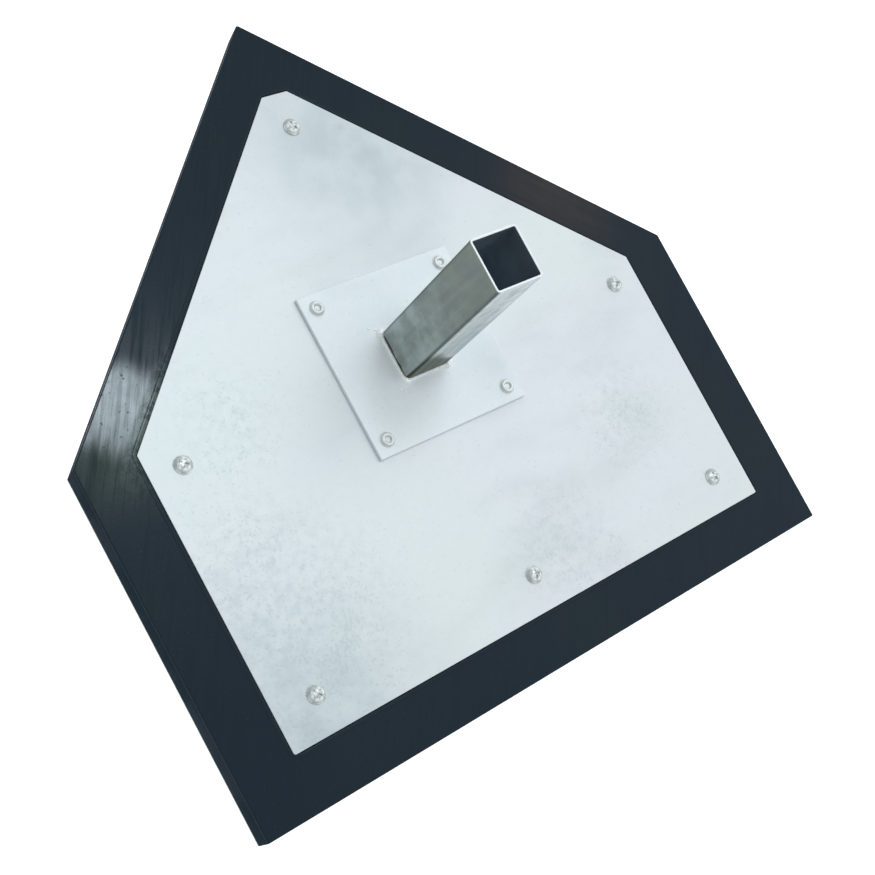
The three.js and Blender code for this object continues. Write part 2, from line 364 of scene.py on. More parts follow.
underside = body_high.z
recess_floor = sheet_low.z
body_loops = [rim_loop(0, 0, body_low.z), rim_loop(0, 0, (body_low.z + underside) / 2)]
for sine, cosine in quarter_turn(body_edge_steps):
    height = underside - body_edge_radius * (1 - sine)
    body_loops.append(rim_loop(0, body_edge_radius * (1 - cosine), height))
flat_start = body_edge_radius + flat_margin
lip_edge = -recess_gap - lip_radius
flat_end = lip_edge - lip_swell_width - flat_margin
for row in range(rim_rows + 1):
    share = row / rim_rows
    offset = flat_start * (1 - share) + flat_end * share
    body_loops.append(wavy(rim_loop(share, offset, underside), rim_waviness * math.sin(math.pi * share)))
for swell in (1.0, 0.75, 0.5, 0.25):
    rise = lip_swell * math.sin(math.pi * swell) ** 2
    body_loops.append(rim_loop(1, lip_edge - lip_swell_width * swell, underside + rise, lip_swell_corner))
for sine, cosine in quarter_turn(body_edge_steps):
    height = underside - lip_radius * (1 - cosine)
    body_loops.append(rim_loop(1, lip_edge + lip_radius * sine, height))
body_loops.append(rim_loop(1, -recess_gap, recess_floor))
black_body = loft("black_body", body_loops)

screw_places = ("apex", "right_shoulder", "left_shoulder", "right_front", "left_front", "front_middle")
rivet_places = ("right_far", "left_far", "right_near", "left_near")
for spot in screw_places:
    low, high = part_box(f"insert_{spot}")
    centre = (low + high) / 2
    flange = (high.x - low.x) / 2 + pocket_clearance
    neck = insert_neck_radius + pocket_clearance
    flange_top = low.z + insert_flange_height + pocket_clearance
    pocket = loft(
        "pocket",
        [
            circle(flange, low.z - pocket_clearance, pocket_sides, centre),
            circle(flange, flange_top, pocket_sides, centre),
            circle(neck, flange_top, pocket_sides, centre),
            circle(neck, underside, pocket_sides, centre),
        ],
    )
    cut_away(black_body, pocket)
for spot in rivet_places:
    pocket_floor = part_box(f"rivet_pin_{spot}")[0].z - pocket_clearance
    low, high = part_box(f"rivet_{spot}")
    radius = (high.x - low.x) / 2
    ends = [circle(radius, height, pocket_sides, (low + high) / 2) for height in (pocket_floor, underside)]
    cut_away(black_body, loft("pocket", ends))
shade(black_body, angle=40)


def times(tree, first, *others):
    for other in others:
        first = calculate(tree, "MULTIPLY", first, other)
    return first


# Streaks: long marks along one direction, from the mould, from wiping or from drawing steel
streaks, streaks_in, streaks_out = new_group(
    "streaks", {"Scale": 200.0, "Along": 0.05, "Turn": 0.0, "Low": 0.4, "High": 0.6}, "Mask"
)
turned = add_node(
    streaks,
    "ShaderNodeVectorRotate",
    {"Vector": streaks_in.outputs["Vector"], "Angle": streaks_in.outputs["Turn"]},
    rotation_type="Z_AXIS",
)
split = add_node(streaks, "ShaderNodeSeparateXYZ", {0: turned.outputs[0]})
drawn = add_node(
    streaks,
    "ShaderNodeCombineXYZ",
    {
        0: times(streaks, split.outputs[0], streaks_in.outputs["Along"]),
        1: split.outputs[1],
        2: split.outputs[2],
    },
)
streak_noise = add_node(
    streaks,
    "ShaderNodeTexNoise",
    {"Vector": drawn.outputs[0], "Scale": streaks_in.outputs["Scale"], "Detail": 4.0, "Roughness": 0.6},
)
streak_mask = remap(streaks, streak_noise.outputs[0], streaks_in.outputs["Low"], streaks_in.outputs["High"])
feed(streaks_out, {"Mask": streak_mask})

# Specks: small flecks that gather in clusters
cluster_edges = (0.42, 0.68)
fleck_edges = (0.66, 0.76)
crowding_gain = 0.16
specks, specks_in, specks_out = new_group(
    "specks", {"Scale": 500.0, "Cluster": 14.0, "Evenness": 0.0, "Amount": 0.5}, "Mask"
)
fleck_noise = add_node(
    specks,
    "ShaderNodeTexNoise",
    {"Vector": specks_in.outputs["Vector"], "Scale": specks_in.outputs["Scale"], "Detail": 2.0},
)
cluster_noise = add_node(
    specks,
    "ShaderNodeTexNoise",
    {"Vector": specks_in.outputs["Vector"], "Scale": specks_in.outputs["Cluster"], "Detail": 3.0},
)
clusters = remap(specks, cluster_noise.outputs[0], *cluster_edges, specks_in.outputs["Evenness"], 1.0)
crowding = times(specks, clusters, specks_in.outputs["Amount"])
fleck_level = times(specks, crowding, crowding_gain)
fleck_sum = calculate(specks, "ADD", fleck_noise.outputs[0], fleck_level)
fleck_mask = remap(specks, fleck_sum, *fleck_edges)
feed(specks_out, {"Mask": fleck_mask})

wipe_direction = math.radians(57.5)
wiped_from = -0.119
wiped_to = -0.083
wiped_slope = 0.15
wiped_middle = 0.16
comb_length = 0.010
polished_spot = (-0.180, 0.019)
polished_radius = 0.041
polished_plateau = 0.55
film_spot = (-0.198, -0.004)
film_radius = 0.045
scuffs_and_sheen_spot = (-0.168, 0.013)
scuffs_and_sheen_radius = 0.055
scuff_ends = 0.009
scuff_full = 0.005
brown_spot = (0.155, 0.048)
brown_radius = 0.065
edge_starts = 0.99
edge_full = 0.85
cured_black = (0.0045, 0.0145, 0.0265)
bloomed_black = (0.0060, 0.0165, 0.0260)
dust_grey = (0.030, 0.036, 0.040)
painted_brown_reflection = (0.042, 0.034, 0.033)
green_film = (0.0115, 0.0255, 0.0240)
painted_edge_light = (0.0085, 0.0185, 0.0305)
crumb_grey_and_sheen = (0.105, 0.140, 0.130)


def spot_mask(tree, place, centre, radius):
    """A mask that is full at a place on a face and fades out at the radius."""
    away = add_node(tree, "ShaderNodeVectorMath", {0: place, 1: centre}, operation="DISTANCE")
    return remap(tree, away.outputs["Value"], radius, 0.0)


# Cured rubber: near black with a faint bloom and a little dust
cured_rubber, cured_in, cured_out = new_group("cured_rubber", {}, "Colour", "NodeSocketColor")
bloom = masked(cured_rubber, soft_patches, Vector=cured_in.outputs["Vector"], Scale=9.0, Low=0.4, High=0.7)
dust = masked(cured_rubber, specks, Vector=cured_in.outputs["Vector"], Scale=900.0, Cluster=20.0, Amount=0.1)
cured = mix_colours(cured_rubber, bloom, cured_black, bloomed_black)
dusty = mix_colours(cured_rubber, dust, cured, dust_grey)
feed(cured_out, {"Colour": dusty})

black_rubber, tree, shader, place = new_finish("black_rubber")
across_wipe = {"Vector": place, "Turn": -wipe_direction}
wiped = masked(tree, streaks, **across_wipe, Scale=420.0, Along=0.05, Low=0.42, High=0.66)
smears = masked(tree, streaks, **across_wipe, Scale=90.0, Along=0.12, Low=0.4, High=0.7)
mottle = masked(tree, soft_patches, Vector=place, Scale=130.0, Low=0.3, High=0.7)
pinholes = masked(tree, specks, Vector=place, Scale=330.0, Cluster=60.0, Amount=0.35)
along_slant = masked(tree, streaks, Vector=place, Turn=math.pi / 4, Scale=170.0, Along=0.1, Low=0.3, High=0.7)
# A brown painted reflection on the right slant of the rim, where a brown wall is mirrored, broken up along
# the slant.
brown = spot_mask(tree, place, (*brown_spot, underside), brown_radius)
brown = times(tree, brown, between(tree, along_slant, 0.55, 1.0))
cured = masked(tree, cured_rubber, Vector=place)
normal = add_node(tree, "ShaderNodeNewGeometry").outputs["Normal"]
facing_up = add_node(tree, "ShaderNodeSeparateXYZ", {0: normal}).outputs["Z"]
# Faces that slope off the flat, on the rounded outer edge and the recess lip, are painted a little lighter:
# painted light that offsets their shade.
sloped_face_light = remap(tree, facing_up, edge_starts, edge_full)
film = spot_mask(tree, place, (*film_spot, underside), film_radius)
colour = mix_colours(tree, brown, cured, painted_brown_reflection)
colour = mix_colours(tree, film, colour, green_film)
colour = mix_colours(tree, sloped_face_light, colour, painted_edge_light)
slant_normal = Vector((-1.0, 1.0, 0.0)).normalized()
away_from_lip = add_node(tree, "ShaderNodeVectorMath", {0: place, 1: slant_normal}, operation="DOT_PRODUCT")
lip_line = plate_right * math.sqrt(0.5) - slant_margin
beside_lip = remap(tree, away_from_lip.outputs["Value"], lip_line + scuff_ends, lip_line + scuff_full)
crumbs = masked(tree, soft_patches, Vector=place, Scale=300.0, Low=0.38, High=0.62)
# Beside the lip, under the left shoulder's glare, a grey crumbly patch is painted much lighter than the
# rubber: partly rubber scuffs and partly a painted sheen of the glare.
scuffs_and_sheen = spot_mask(tree, place, (*scuffs_and_sheen_spot, underside), scuffs_and_sheen_radius)
scuffs_and_sheen = times(tree, scuffs_and_sheen, beside_lip, between(tree, crumbs, 0.15, 0.8))
colour = mix_colours(tree, scuffs_and_sheen, colour, crumb_grey_and_sheen)
fine_marks = between(tree, wiped, 0.2, 0.32)
marks = calculate(tree, "ADD", fine_marks, between(tree, smears, 0.0, 0.1))
grain = masked(tree, rubber_grain, Vector=place, Scale=700.0)
raised = calculate(tree, "ADD", grain, wiped)
turned = add_node(
    tree, "ShaderNodeVectorRotate", {"Vector": place, "Angle": -wipe_direction}, rotation_type="Z_AXIS"
)
wipe_place = add_node(tree, "ShaderNodeSeparateXYZ", {0: turned.outputs[0]})
aside = calculate(tree, "SUBTRACT", wipe_place.outputs["Y"], wiped_middle)
ahead = calculate(tree, "ADD", wipe_place.outputs["X"], times(tree, aside, wiped_slope))
combed = calculate(tree, "SUBTRACT", ahead, between(tree, smears, 0.0, comb_length))
swept = remap(tree, combed, wiped_from, wiped_to)
polish = spot_mask(tree, place, (*polished_spot, underside), polished_radius)
shine = times(
    tree,
    remap(tree, polish, 0.0, polished_plateau),
    swept,
    between(tree, wiped, 1.0, 0.76),
    between(tree, mottle, 0.85, 1.0),
    between(tree, pinholes, 1.0, 0.2),
    between(tree, beside_lip, 1.0, 0.4),
)
feed(shader, {
    "Base Color": colour,
    "Roughness": marks,
    "Specular IOR Level": 0.15,
    "Normal": relief(tree, raised, strength=0.05, depth=0.0002),
    "Coat Weight": shine,
    "Coat Roughness": 0.12,
})

moulded_side, tree, shader, place = new_finish("moulded_side")
rubbed_and_highlight = masked(tree, soft_patches, Vector=place, Scale=40.0, Low=0.35, High=0.7)
grain = masked(tree, rubber_grain, Vector=place, Scale=700.0)
feed(shader, {
    "Base Color": masked(tree, cured_rubber, Vector=place),
    "Roughness": between(tree, rubbed_and_highlight, 0.72, 0.58),
    "Specular IOR Level": 0.03,
    "Normal": relief(tree, grain, strength=0.08, depth=0.0002),
})

black_body.data.materials.append(black_rubber)
black_body.data.materials.append(moulded_side)
for face in black_body.data.polygons:
    if face.normal.z < steepest_top:
        face.material_index = 1
dress(black_body, black_rubber, "base_body")

# Inserts: flanged, threaded steel bushes that the rubber is moulded round, one under each screw.
# They hold the screws because rubber alone would not, and nothing of them shows.
insert_plating = (0.62, 0.62, 0.59)
insert_tarnish = (0.46, 0.45, 0.41)
insert_steel, tree, shader, place = new_finish("insert_steel")
tarnish = masked(tree, soft_patches, Vector=place, Scale=180.0, Low=0.4, High=0.65)
turning = masked(tree, streaks, Vector=place, Scale=2400.0, Along=0.02, Low=0.4, High=0.6)
feed(shader, {
    "Base Color": mix_colours(tree, tarnish, insert_plating, insert_tarnish),
    "Roughness": between(tree, turning, 0.28, 0.42),
    "Metallic": 1.0,
})
for spot in screw_places:
    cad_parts[f"insert_{spot}"].material_slots[0].material = insert_steel

# Backing plate: galvanised sheet steel sheared to the five sides with the apex cut off square.
# It lies flush in the recess, screwed to the inserts, and its zinc is clouded and flecked.
sheet_edge_radius = 0.00025
sheet_edge_steps = 3
sheet_corner_radius = 0.0004
hole_clearance = 0.0003
hole_sides = 32
zinc_bright = (0.706, 0.742, 0.750)
zinc_lilac = (0.704, 0.730, 0.758)
zinc_dull_and_shade = (0.500, 0.552, 0.576)
zinc_fleck = (0.360, 0.400, 0.410)
cloud_share = 0.08
blotch_share = 0.34
fleck_share = 0.22
dull_least = 0.55
rolling_stretch = 0.45


def galvanised(name, coat, shine, fleck_amount, fleck_areas, dull_and_shade_areas):
    """Zinc-coated sheet: cloudy tints, listed areas darkened towards dull zinc, and flecks that crowd in
    places.
    The listed areas are dulled by handling on the backing plate and are painted shade on the stem plate.
    """
    finish, tree, shader, place = new_finish(name)
    rolled = add_node(tree, "ShaderNodeMapping", {"Vector": place, "Scale": (rolling_stretch, 1.0, 1.0)})
    tint = masked(tree, soft_patches, Vector=rolled.outputs[0], Scale=9.0, Low=0.4, High=0.62)
    clouds = masked(tree, soft_patches, Vector=rolled.outputs[0], Scale=22.0, Low=0.46, High=0.78)
    amount = fleck_amount
    for centre, radius, crowd in fleck_areas:
        area = times(tree, spot_mask(tree, place, centre, radius), crowd)
        amount = calculate(tree, "MAXIMUM", amount, area)
    flecks = masked(tree, specks, Vector=place, Scale=560.0, Cluster=30.0, Evenness=0.4, Amount=amount)
    mottle = masked(tree, soft_patches, Vector=place, Scale=210.0, Low=0.36, High=0.72)
    blotches = times(tree, mottle, times(tree, amount, blotch_share))
    patches = masked(tree, soft_patches, Vector=place, Scale=36.0, Low=0.28, High=0.74)
    colour = mix_colours(tree, tint, *coat)
    colour = mix_colours(tree, times(tree, clouds, cloud_share), colour, zinc_dull_and_shade)
    colour = mix_colours(tree, blotches, colour, zinc_dull_and_shade)
    for centre, radius, depth in dull_and_shade_areas:
        area = spot_mask(tree, place, centre, radius)
        patchy = between(tree, patches, depth * dull_least, depth)
        broken = times(tree, area, patchy)
        colour = mix_colours(tree, broken, colour, zinc_dull_and_shade)
    colour = mix_colours(tree, times(tree, flecks, fleck_share), colour, zinc_fleck)
    scratches = masked(tree, streaks, Vector=place, Scale=900.0, Along=0.02, Low=0.45, High=0.7)
    feed(shader, {
        "Base Color": colour,
        "Roughness": between(tree, clouds, 0.5, 0.6),
        "Metallic": shine,
        "Normal": relief(tree, scratches, strength=0.04, depth=0.0001),
    })
    return finish


def slab_loops(outline, low, high, edge_radius):
    """Loops of a flat piece whose outline is a function of the distance that it is set in."""
    loops = []
    for sine, cosine in quarter_turn(sheet_edge_steps):
        loops.append(at_height(outline(edge_radius * (1 - sine)), low + edge_radius * (1 - cosine)))
    for sine, cosine in quarter_turn(sheet_edge_steps):
        loops.append(at_height(outline(edge_radius * (1 - cosine)), high - edge_radius * (1 - sine)))
    return loops


def sheet_outline(inset):
    corners = plate_corners(side_margin + inset, front_margin + inset, slant_margin + inset, apex_cut)
    return rounded_path(corners, sheet_corner_radius, steps=3)


def drill(piece, fastener, shank_radius, low, high):
    """Cuts a round hole through a flat piece, with room for the shank of the fastener in it."""
    margin = 0.001
    radius = shank_radius + hole_clearance
    fastener_low, fastener_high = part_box(fastener)
    centre = (fastener_low + fastener_high) / 2
    ends = [circle(radius, height, hole_sides, centre) for height in (low - margin, high + margin)]
    cut_away(piece, loft("hole", ends))


screw_shank_radius = 0.00275
rivet_shank_radius = 0.0032
steel_sheet = loft("steel_sheet", slab_loops(sheet_outline, sheet_low.z, sheet_high.z, sheet_edge_radius))
for spot in screw_places:
    drill(steel_sheet, f"screw_{spot}", screw_shank_radius, sheet_low.z, sheet_high.z)
for spot in rivet_places:
    drill(steel_sheet, f"rivet_{spot}", rivet_shank_radius, sheet_low.z, sheet_high.z)
shade(steel_sheet, angle=25)
sheet_finish = galvanised(
    "galvanised_sheet",
    coat=(zinc_bright, zinc_lilac),
    shine=0.6,
    fleck_amount=0.15,
    fleck_areas=[
        ((-0.160, -0.125, underside), 0.12, 1.6),
        ((0.115, -0.10, underside), 0.06, 1.0),
        ((0.03, -0.155, underside), 0.07, 0.9),
        ((-0.127, -0.01, underside), 0.06, 0.9),
    ],
    dull_and_shade_areas=[
        ((0.03, 0.12, underside), 0.095, 1.0),
        ((-0.02, 0.16, underside), 0.06, 0.35),
        ((-0.175, -0.185, underside), 0.13, 1.0),
        ((0.13, -0.10, underside), 0.03, 0.3),
        ((0.031, 0.136, underside), 0.004, 1.0),
    ],
)
dress(steel_sheet, sheet_finish, "backing_plate")

# Screws: six zinc-plated machine screws with low domed heads and cross recesses, driven through
# the sheet into the inserts. Each was turned home by hand, so the crosses stand at different angles.
screw_low, screw_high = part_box("screw_apex")
head_radius = (screw_high.x - screw_low.x) / 2
head_height = screw_high.z - underside
head_rim = 0.0006
head_edge_break = 0.0002
head_steps = 12
screw_sides = 48
thread_pitch = 0.001
thread_depth = 0.00042
thread_rings_per_turn = 8
point_length = 0.0009
blunt_point = 0.35
cross_reach = 0.0033
cross_half_width = 0.0008
cross_depth = 0.0014
cross_taper = 0.6
cross_flare = 1.25
screw_bright = (0.90, 0.92, 0.91)
screw_stained = (0.52, 0.55, 0.54)
shade_ring_shares = (0.66, 0.8, 0.88, 0.97)
painted_shade_share = 0.45
stain_roughness = 0.14
screw_turns = {
    "apex": 20,
    "right_shoulder": 68,
    "left_shoulder": 52,
    "right_front": 8,
    "left_front": 35,
    "front_middle": 80,
}


def thread_loop(height, sides):
    """A loop round the shank whose radius follows the thread's slope at that height."""
    loop = []
    for i in range(sides):
        place_in_turn = (height / thread_pitch - i / sides) % 1
        crest = 1 - abs(place_in_turn * 2 - 1)
        narrowing = min(1.0, (height + point_length * blunt_point) / point_length)
        radius = (screw_shank_radius - thread_depth * crest) * narrowing
        turn = math.tau * i / sides
        loop.append(Vector((radius * math.cos(turn), radius * math.sin(turn), height)))
    return loop


shank_length = underside - screw_low.z
thread_rings = round(shank_length / thread_pitch * thread_rings_per_turn)
screw_loops = [thread_loop(shank_length * i / thread_rings, screw_sides) for i in range(thread_rings + 1)]
dome_height = head_height - head_rim
dome_radius = (head_radius**2 + dome_height**2) / (2 * dome_height)
dome_edge = math.asin(head_radius / dome_radius)
screw_loops.append(circle(head_radius - head_edge_break, shank_length, screw_sides))
screw_loops.append(circle(head_radius, shank_length + head_edge_break, screw_sides))
for step in range(head_steps):
    lean = dome_edge * (1 - step / head_steps)
    drop = dome_radius * (1 - math.cos(lean))
    screw_loops.append(circle(dome_radius * math.sin(lean), shank_length + head_height - drop, screw_sides))
screw_shape = loft("cross_screw", screw_loops)


def cross_loop(scale, height):
    """The outline of a cross recess at one depth."""
    loop = []
    arm = cross_reach * scale
    half = cross_half_width * (0.5 + scale / 2)
    for quarter in range(4):
        turn = Matrix.Rotation(math.pi / 2 * quarter, 2)
        for corner in ((arm, -half), (arm, half), (half, half)):
            loop.append(turn @ Vector(corner))
    return at_height(loop, height)


screw_top = shank_length + head_height
recess_loops = [
    cross_loop(cross_taper, screw_top - cross_depth),
    cross_loop(1.0, screw_top),
    cross_loop(cross_flare, screw_top + cross_depth),
]
cut_away(screw_shape, loft("cross_cutter", recess_loops))
shade(screw_shape, angle=32)


def plated(name, bright, stained, roughness, bare, head):
    """Bright zinc plating with stains, dark dots, turning marks, and a painted shade ring round the head's
    edge.
    """
    finish, tree, shader, place = new_finish(name)
    stains = masked(tree, soft_patches, Vector=place, Scale=380.0, Low=0.44, High=0.58)
    dots = masked(tree, specks, Vector=place, Scale=2600.0, Cluster=300.0, Amount=0.7)
    flat_place = add_node(tree, "ShaderNodeVectorMath", {0: place, 1: (1.0, 1.0, 0.0)}, operation="MULTIPLY")
    from_axis = add_node(tree, "ShaderNodeVectorMath", {0: flat_place.outputs[0]}, operation="LENGTH")
    # A ring near the rim of each head is painted darker: painted shade where the dome turns down to its edge.
    starts, full, fades, ends = (head * share for share in shade_ring_shares)
    shoulder = remap(tree, from_axis.outputs["Value"], starts, full, 0.0, painted_shade_share)
    brim = remap(tree, from_axis.outputs["Value"], ends, fades)
    painted_ring_shade = times(tree, shoulder, brim)
    colour = mix_colours(tree, stains, bright, stained)
    colour = mix_colours(tree, dots, colour, zinc_fleck)
    turning = masked(tree, streaks, Vector=place, Scale=3000.0, Along=0.2, Low=0.4, High=0.6)
    feed(shader, {
        "Base Color": mix_colours(tree, painted_ring_shade, colour, zinc_fleck),
        "Roughness": between(tree, stains, roughness, roughness + stain_roughness),
        "Metallic": bare,
        "Normal": relief(tree, turning, strength=0.08, depth=0.00005),
    })
    return finish


def place_fastener(name, shape, finish, node, degrees=0.0):
    """Puts a copy of a fastener where its CAD node is, turned about its own axis."""
    low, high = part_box(node)
    fastener = bpy.data.objects.new(name, shape.data)
    fastener.location = ((low.x + high.x) / 2, (low.y + high.y) / 2, low.z)
    fastener.rotation_euler.z = math.radians(degrees)
    bpy.context.scene.collection.objects.link(fastener)
    dress(fastener, finish, node)


screw_zinc = plated("screw_zinc", screw_bright, screw_stained, roughness=0.24, bare=0.35, head=head_radius)
screw_shape.data.materials.append(screw_zinc)
for spot, degrees in screw_turns.items():
    place_fastener(f"cross_screw_{spot}", screw_shape, screw_zinc, f"screw_{spot}", degrees)
bpy.data.objects.remove(screw_shape)

# Stem plate: a nearly square piece of galvanised plate, sheared and laid on the sheet.
# It spreads the stem's load and is held by a blind rivet at each corner.
foot_low, foot_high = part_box("stem_plate")
foot_edge_radius = 0.0007
foot_corner_radius = 0.0007
edge_slopes = (0.1, 0.98)
zinc_foot = (0.836, 0.886, 0.908)
zinc_foot_lilac = (0.832, 0.880, 0.913)
zinc_sheared = (0.80, 0.835, 0.84)
zinc_sheared_lilac = (0.79, 0.82, 0.84)


def box_corners(low, high, inset=0.0):
    """The four corners of a box seen from above, set in by a distance."""
    return [
        Vector((low.x + inset, low.y + inset)),
        Vector((high.x - inset, low.y + inset)),
        Vector((high.x - inset, high.y - inset)),
        Vector((low.x + inset, high.y - inset)),
    ]


def foot_outline(inset):
    return rounded_path(box_corners(foot_low, foot_high, inset), foot_corner_radius, steps=3)


foot_plate = loft("foot_plate", slab_loops(foot_outline, foot_low.z, foot_high.z, foot_edge_radius))
for spot in rivet_places:
    drill(foot_plate, f"rivet_{spot}", rivet_shank_radius, foot_low.z, foot_high.z)
shade(foot_plate, angle=25)
stem_low, stem_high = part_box("stem_tube")
foot_finish = galvanised(
    "galvanised_foot",
    coat=(zinc_foot, zinc_foot_lilac),
    shine=0.15,
    fleck_amount=0.15,
    fleck_areas=[],
    # The two areas below are painted shade on the stem plate: the tube's soft shadow in front of its foot,
    # and a shaded patch to the right of it.
    dull_and_shade_areas=[
        ((stem_low.x - 0.010, stem_low.y - 0.014, foot_high.z), 0.03, 0.25),
        ((stem_high.x + 0.030, stem_low.y - 0.010, foot_high.z), 0.035, 0.35),
    ],
)
sheared_edge = galvanised(
    "sheared_edge",
    coat=(zinc_sheared, zinc_sheared_lilac),
    shine=0.6,
    fleck_amount=0.1,
    fleck_areas=[],
    dull_and_shade_areas=[],
)
foot_plate.data.materials.append(foot_finish)
foot_plate.data.materials.append(sheared_edge)
for face in foot_plate.data.polygons:
    if edge_slopes[0] < face.normal.z < edge_slopes[1]:
        face.material_index = 1
dress(foot_plate, foot_finish, "stem_plate")

# Stem tube: drawn square steel tube, sawn off square and left open, which drops into a ground socket.
# Its zinc is dull and streaked along its length and burnt dark by the weld in a thin band at its foot.
# The front face carries a painted highlight, pale towards its top, and a painted dark reflection rising from
# its foot, highest at the left corner.
stem_centre = (stem_low + stem_high) / 2
tube_corner_radius = 0.0024
tube_wall = 0.0014
burr_radius = 0.00022
tube_rows = 24
tube_pale = (0.430, 0.482, 0.478)
tube_olive = (0.312, 0.344, 0.296)
tube_cloud = (0.278, 0.309, 0.288)
tube_streak = (0.60, 0.64, 0.65)
tube_painted_highlight = (0.90, 0.93, 0.95)
tube_worn = (0.10, 0.125, 0.105)
tube_burnt_and_dark_reflection = (0.050, 0.063, 0.044)
olive_shares = (0.2, 0.85)
streak_share = 0.13
worn_share = 0.9
crust_share = 0.15
front_depths = (0.002, 0.0006)
worn_depths = (0.0024, 0.0007)
dark_reflection_high = 0.043
dark_reflection_low = 0.014
burn_least = 0.0028
burn_ragged = 0.0012
burn_full_share = 0.66
sawn_bright = (0.72, 0.75, 0.76)
sawn_grey = (0.64, 0.67, 0.68)
bore_mouth = (0.100, 0.132, 0.163)
bore_deep_painted_light = (0.330, 0.430, 0.520)
bore_crust = (0.03, 0.04, 0.05)
bore_fade = 0.04


def tube_outline(inset, radius):
    return rounded_path(box_corners(stem_low, stem_high, inset), radius, steps=6, pieces=6)


bore_radius = tube_corner_radius - tube_wall
side_height = stem_high.z - burr_radius - stem_low.z
tube_levels = [stem_low.z + side_height * i / tube_rows for i in range(tube_rows + 1)]
tube_loops = [at_height(tube_outline(0, tube_corner_radius), level) for level in tube_levels]
tube_loops.append(at_height(tube_outline(burr_radius, tube_corner_radius - burr_radius), stem_high.z))
tube_loops.append(at_height(tube_outline(tube_wall - burr_radius, bore_radius + burr_radius), stem_high.z))
tube_loops += [at_height(tube_outline(tube_wall, bore_radius), level) for level in reversed(tube_levels)]
square_stem = loft("square_stem", tube_loops, ring=True)
shade(square_stem, angle=30)

tube_steel, tree, shader, place = new_finish("tube_steel")
upright = add_node(
    tree, "ShaderNodeVectorRotate", {"Vector": place, "Angle": math.pi / 2}, rotation_type="Y_AXIS"
)
drawing = masked(tree, streaks, Vector=upright.outputs[0], Scale=260.0, Along=0.07, Low=0.36, High=0.7)
clouds = masked(tree, soft_patches, Vector=place, Scale=58.0, Low=0.36, High=0.64)
axes = add_node(tree, "ShaderNodeSeparateXYZ", {0: place})
height = calculate(tree, "SUBTRACT", axes.outputs["Z"], stem_low.z)
stem_height = stem_high.z - stem_low.z
olive = remap(tree, height, *(stem_height * share for share in olive_shares))
colour = mix_colours(tree, olive, tube_pale, tube_olive)
colour = mix_colours(tree, clouds, colour, tube_cloud)
colour = mix_colours(tree, times(tree, drawing, streak_share), colour, tube_streak)
# The front face is painted pale, more towards the top and broken by patches and streaks: a painted highlight.
front = remap(tree, axes.outputs["Y"], *(stem_low.y + depth for depth in front_depths))
upwards = remap(tree, height, 0.0, stem_height, 0.1, 1.0)
highlight_breakup = masked(tree, soft_patches, Vector=place, Scale=130.0, Low=0.42, High=0.66)
rubbed_and_highlight = times(tree, front, upwards, between(tree, highlight_breakup, 1.0, 0.6), between(tree, drawing, 0.7, 1.0))
colour = mix_colours(tree, rubbed_and_highlight, colour, tube_painted_highlight)
half_side = (stem_high.x - stem_low.x) / 2
corner_wear = []
for axis, middle in (("X", stem_centre.x), ("Y", stem_centre.y)):
    aside = calculate(tree, "SUBTRACT", axes.outputs[axis], middle)
    aside = calculate(tree, "ABSOLUTE", aside, 0.0)
    corner_wear.append(remap(tree, aside, *(half_side - depth for depth in worn_depths)))
worn = times(tree, *corner_wear)
colour = mix_colours(tree, times(tree, worn, worn_share), colour, tube_worn)
# Dark near the foot: a thin band all round is burnt by the weld, and on the front face a painted dark
# reflection reaches higher, most at the left corner.
dark_reflection_reach = remap(tree, axes.outputs["X"], stem_low.x, stem_high.x, dark_reflection_high, dark_reflection_low)
burnt_and_reflection_reach = calculate(tree, "MAXIMUM", times(tree, front, dark_reflection_reach), burn_least)
ragged = calculate(tree, "SUBTRACT", height, between(tree, clouds, 0.0, burn_ragged))
burnt_and_dark_reflection = remap(tree, ragged, burnt_and_reflection_reach, times(tree, burnt_and_reflection_reach, burn_full_share))
feed(shader, {
    "Base Color": mix_colours(tree, burnt_and_dark_reflection, colour, tube_burnt_and_dark_reflection),
    "Roughness": between(tree, drawing, 0.36, 0.28),
    "Metallic": between(tree, burnt_and_dark_reflection, 1.0, 0.1),
    "Specular IOR Level": 0.08,
    "Normal": relief(tree, drawing, strength=0.03, depth=0.0002),
})

sawn_steel, tree, shader, place = new_finish("sawn_steel")
saw_marks = masked(tree, streaks, Vector=place, Scale=2200.0, Along=0.03, Turn=0.5, Low=0.4, High=0.62)
feed(shader, {
    "Base Color": mix_colours(tree, saw_marks, sawn_bright, sawn_grey),
    "Roughness": between(tree, saw_marks, 0.3, 0.42),
    "Metallic": 1.0,
})

bore_scale, tree, shader, place = new_finish("bore_scale")
crust = masked(tree, soft_patches, Vector=place, Scale=120.0, Low=0.35, High=0.7)
# The bore is painted lighter with depth: painted light that offsets the shade deep in the tube, so that it
# looks evenly dark.
level = add_node(tree, "ShaderNodeSeparateXYZ", {0: place}).outputs["Z"]
depth = remap(tree, level, stem_high.z, stem_high.z - bore_fade)
colour = mix_colours(tree, depth, bore_mouth, bore_deep_painted_light)
feed(shader, {
    "Base Color": mix_colours(tree, times(tree, crust, crust_share), colour, bore_crust),
    "Roughness": between(tree, crust, 0.7, 0.85),
    "Specular IOR Level": 0.1,
})

square_stem.data.materials.append(tube_steel)
square_stem.data.materials.append(sawn_steel)
square_stem.data.materials.append(bore_scale)
for face in square_stem.data.polygons:
    if face.center.z > stem_high.z - burr_radius:
        face.material_index = 1
    elif face.normal.dot(face.center - stem_centre) < 0:
        face.material_index = 2
dress(square_stem, tube_steel, "stem_tube")

